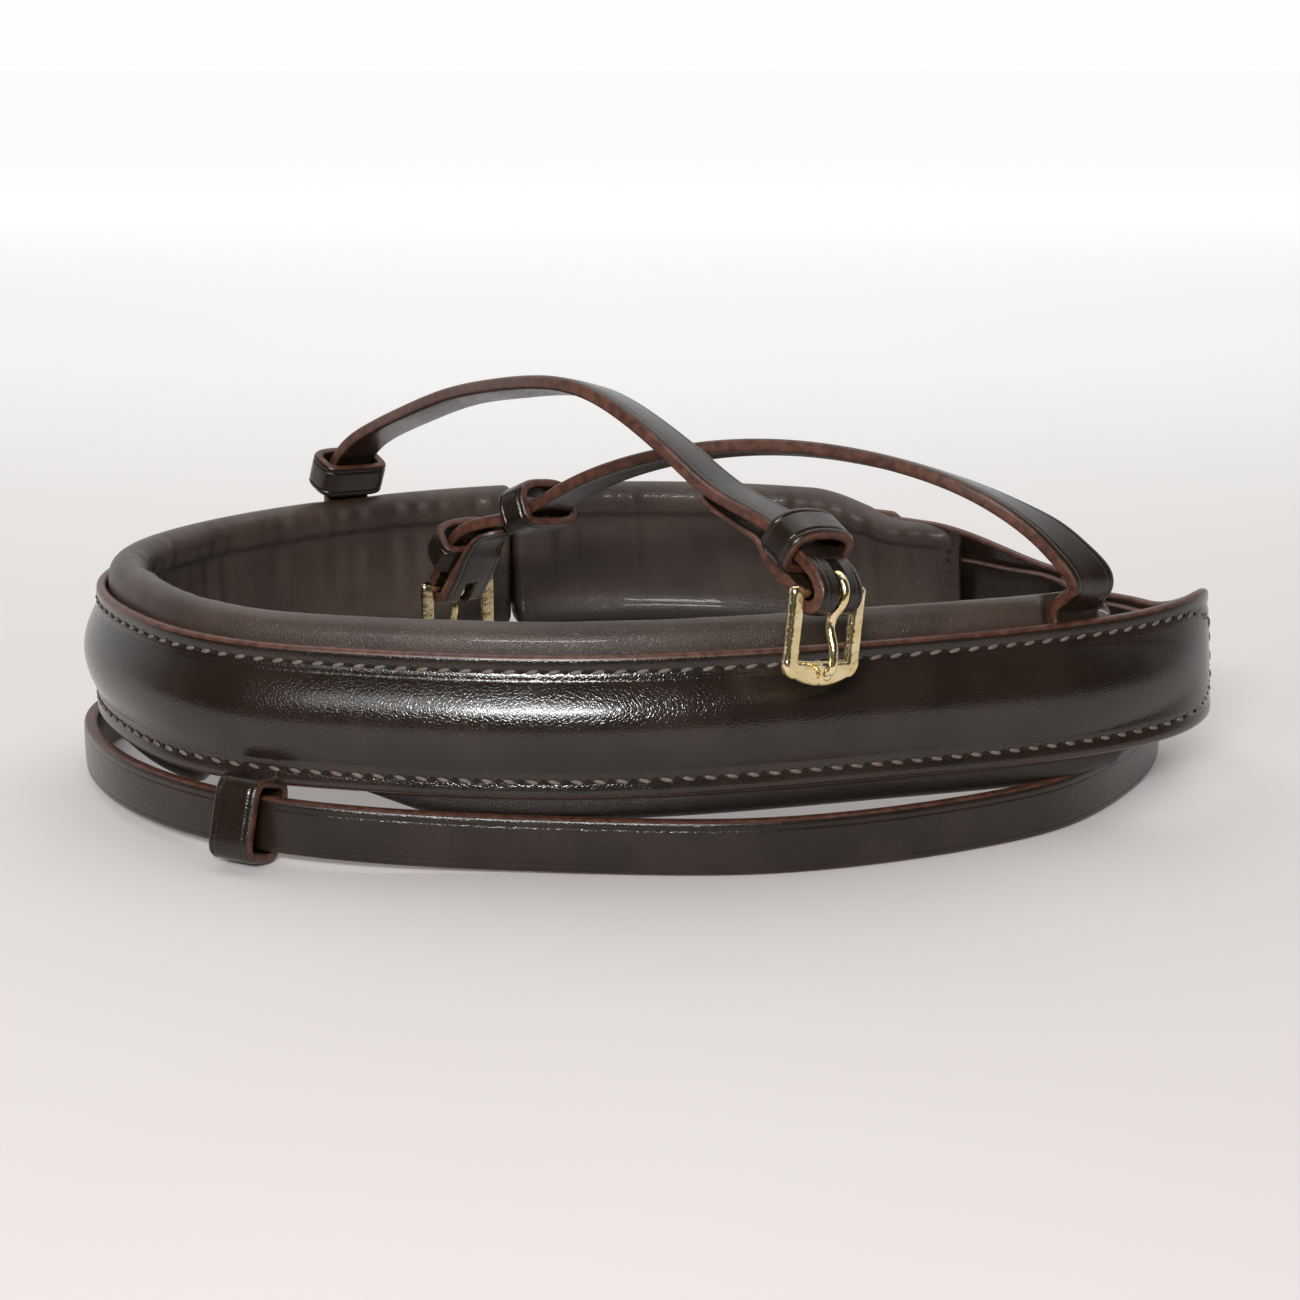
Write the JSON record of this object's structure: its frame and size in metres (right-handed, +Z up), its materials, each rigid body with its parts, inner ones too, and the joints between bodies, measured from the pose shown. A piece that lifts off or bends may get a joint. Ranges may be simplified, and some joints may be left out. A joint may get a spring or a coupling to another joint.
{
  "type": "padded raised cavesson noseband",
  "caption": "Padded raised cavesson noseband in dark leather, coiled into a ring, with cheek straps, chin strap, runners and small gilt buckles",
  "frame": {"origin": "centre of the footprint, on the table", "axes": "+X to the jaw ends (right in the picture), +Y from the raised nosepiece to the back of the ring, +Z up"},
  "size_m": [0.2948, 0.2038, 0.108],
  "materials": {
    "bridle_leather": "polished dark havana leather",
    "strap_leather": "dark havana leather with red-brown burnished edges",
    "lining_leather": "soft satin brown lining leather",
    "felt": "pressed felt",
    "gilt_brass": "polished"
  },
  "bodies": {
    "noseband": {"noseband_leather": "bridle_leather", "raised_core": "felt", "nose_padding": "lining_leather", "jaw_padding": "lining_leather", "off_cheek_strap": "strap_leather", "off_cheek_keeper": "strap_leather", "near_cheek_strap": "strap_leather", "near_cheek_keeper": "strap_leather", "chin_strap": "strap_leather", "chin_buckle_strap": "strap_leather", "chin_keeper": "strap_leather"},
    "off_cheek_runner": {"off_cheek_runner": "strap_leather"},
    "off_frame": {"off_buckle_frame": "gilt_brass"},
    "off_prong": {"off_buckle_prong": "gilt_brass"},
    "near_cheek_runner": {"near_cheek_runner": "strap_leather"},
    "near_frame": {"near_buckle_frame": "gilt_brass"},
    "near_prong": {"near_buckle_prong": "gilt_brass"},
    "chin_runner": {"chin_runner": "strap_leather"},
    "chin_frame": {"chin_buckle_frame": "gilt_brass"},
    "chin_prong": {"chin_buckle_prong": "gilt_brass"}
  },
  "joints": [
    {"name": "off_runner_slide", "type": "slide", "parent": "noseband", "child": "off_cheek_runner", "axis": [0.2556, -0.2334, 0.9382], "range_m": [0, 0.0012]},
    {"name": "near_runner_slide", "type": "slide", "parent": "noseband", "child": "near_cheek_runner", "axis": [-0.7217, 0.5491, -0.4215], "range_m": [-0.004, 0.004]},
    {"name": "chin_runner_slide", "type": "slide", "parent": "noseband", "child": "chin_runner", "axis": [-0.9057, 0.4238, 0.0125], "range_m": [-0.004, 0.004]},
    {"name": "off_frame_hinge", "type": "hinge", "parent": "noseband", "child": "off_frame", "pos_m": [0.0416, -0.0926, 0.0672], "axis": [-0.7444, -0.6471, 0.1651], "range_deg": [-30, 45]},
    {"name": "off_prong_hinge", "type": "hinge", "parent": "off_frame", "child": "off_prong", "pos_m": [0.0416, -0.0926, 0.0672], "axis": [-0.7444, -0.6471, 0.1651], "range_deg": [0, 70]},
    {"name": "near_frame_hinge", "type": "hinge", "parent": "noseband", "child": "near_frame", "pos_m": [-0.0518, 0.0374, 0.0385], "axis": [0.8191, 0.5736, 0], "range_deg": [-30, 45]},
    {"name": "near_prong_hinge", "type": "hinge", "parent": "near_frame", "child": "near_prong", "pos_m": [-0.0518, 0.0374, 0.0385], "axis": [0.8191, 0.5736, 0], "range_deg": [0, 70]},
    {"name": "chin_frame_hinge", "type": "hinge", "parent": "noseband", "child": "chin_frame", "pos_m": [0.0852, 0.0074, 0.028], "axis": [0, 0, -1], "range_deg": [-60, 10]},
    {"name": "chin_prong_hinge", "type": "hinge", "parent": "chin_frame", "child": "chin_prong", "pos_m": [0.0852, 0.0074, 0.028], "axis": [0, 0, -1], "range_deg": [0, 70]}
  ]
}
